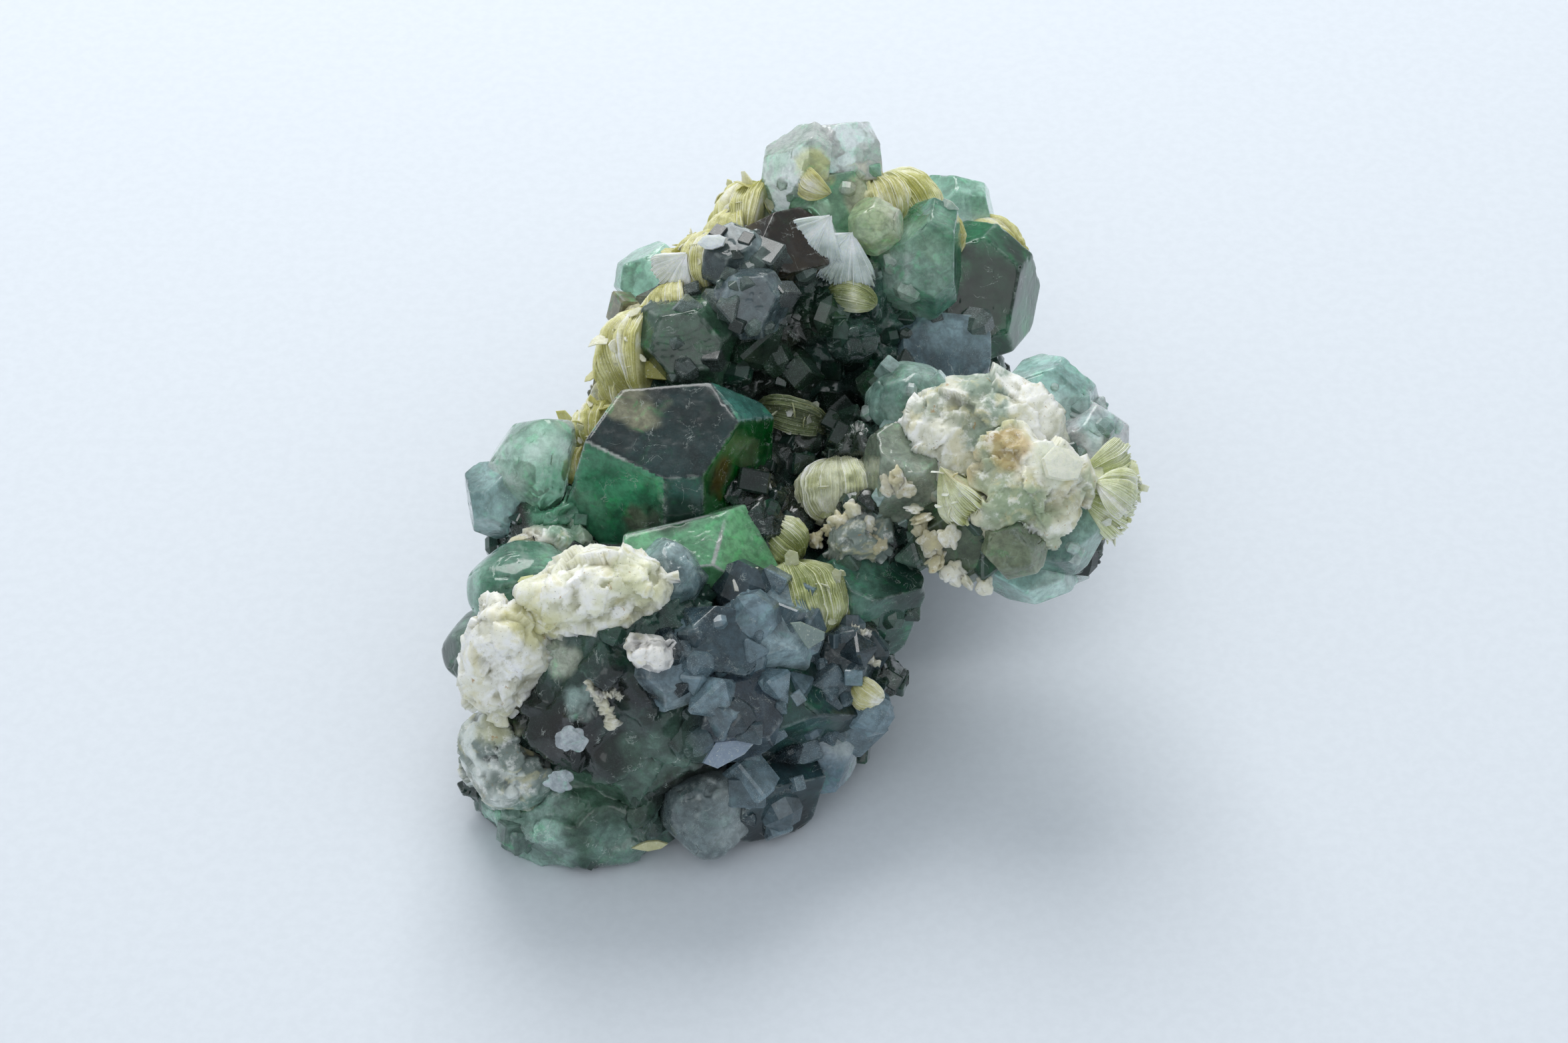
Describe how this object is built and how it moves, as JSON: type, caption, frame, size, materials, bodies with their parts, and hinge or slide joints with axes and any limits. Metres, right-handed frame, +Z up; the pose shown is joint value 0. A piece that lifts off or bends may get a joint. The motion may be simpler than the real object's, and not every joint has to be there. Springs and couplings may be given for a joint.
{
  "type": "fluorite specimen",
  "caption": "Cluster of green fluorite crystals and fan-shaped mica rosettes with pale crusts, grown on a broken fluorite matrix with an overhanging arm.",
  "frame": {"origin": "under the middle of the whole specimen, on the plane that it rests on", "axes": "+Z up out of the resting plane; +Y along the specimen's longest side, from the front lump to the raised back; +X towards the overhanging arm"},
  "size_m": [0.0642, 0.0708, 0.0426],
  "materials": {
    "massive_fluorite": "dull vitreous, broken and frosted",
    "dark_green_fluorite": "vitreous with a frosting of fine pits",
    "emerald_fluorite": "vitreous",
    "teal_fluorite": "vitreous",
    "pale_fluorite": "vitreous, nearly clear",
    "smoky_fluorite": "frosted vitreous, grey to violet",
    "yellow_mica": "pearly on the sheets, fibrous along their rims",
    "silver_mica": "pearly, silver white",
    "feldspar_crust": "chalky to sugary, cream white with rust stains",
    "tan_crust": "granular, tan with dark specks"
  },
  "bodies": {
    "root": {"front_mica_rosette": "yellow_mica", "saddle_mica_rosette": "yellow_mica", "cavity_mica_leaf": "yellow_mica", "arm_mica_tassel": "yellow_mica", "arm_mica_fan": "yellow_mica", "flank_mica_low": "yellow_mica", "flank_mica_middle": "yellow_mica", "flank_mica_high": "yellow_mica", "ridge_mica": "yellow_mica", "crown_mica": "yellow_mica", "silver_mica_fan": "silver_mica", "back_mica": "yellow_mica", "emerald_octahedron": "emerald_fluorite", "great_dark_crystal": "dark_green_fluorite", "shoulder_crystal": "dark_green_fluorite", "brown_crystal": "dark_green_fluorite", "lilac_crystal": "smoky_fluorite", "grey_ridge_crystal": "smoky_fluorite", "peak_crystal": "pale_fluorite", "peak_side_crystal": "pale_fluorite", "peak_root_crystal": "pale_fluorite", "mica_button_crystal": "pale_fluorite", "clear_crystal": "pale_fluorite", "back_great_crystal": "dark_green_fluorite", "back_green_crystal": "emerald_fluorite", "purple_crystal": "smoky_fluorite", "left_back_crystal": "teal_fluorite", "left_pale_crystal": "pale_fluorite", "left_grey_crystal": "teal_fluorite", "front_dome_crystal": "teal_fluorite", "front_side_crystal": "dark_green_fluorite", "grey_ball_crystal": "smoky_fluorite", "frosted_crystal": "smoky_fluorite", "blue_prism": "smoky_fluorite", "blue_white_crystal": "smoky_fluorite", "violet_crystal": "smoky_fluorite", "right_dark_crystal": "dark_green_fluorite", "bottom_disc_crystal": "smoky_fluorite", "lower_block_crystal": "dark_green_fluorite", "glass_wedge_crystal": "pale_fluorite", "round_dark_crystal": "smoky_fluorite", "curved_glass_crystal": "teal_fluorite", "right_wall_crystal": "dark_green_fluorite", "arm_back_crystal": "teal_fluorite", "arm_top_crystal": "teal_fluorite", "arm_right_crystal": "teal_fluorite", "arm_clear_crystal": "pale_fluorite", "arm_bottom_crystal": "teal_fluorite", "arm_dark_crystal": "dark_green_fluorite", "arm_side_crystal": "dark_green_fluorite", "arm_prism": "teal_fluorite", "front_crust_wall": "feldspar_crust", "front_crust_ridge": "feldspar_crust", "speckled_crust": "tan_crust", "feldspar_chip": "feldspar_crust", "left_tan_crust": "tan_crust", "saddle_crust": "feldspar_crust", "arm_crust_face": "feldspar_crust", "arm_feldspar": "feldspar_crust", "fluorite_matrix": "massive_fluorite"}
  },
  "joints": []
}
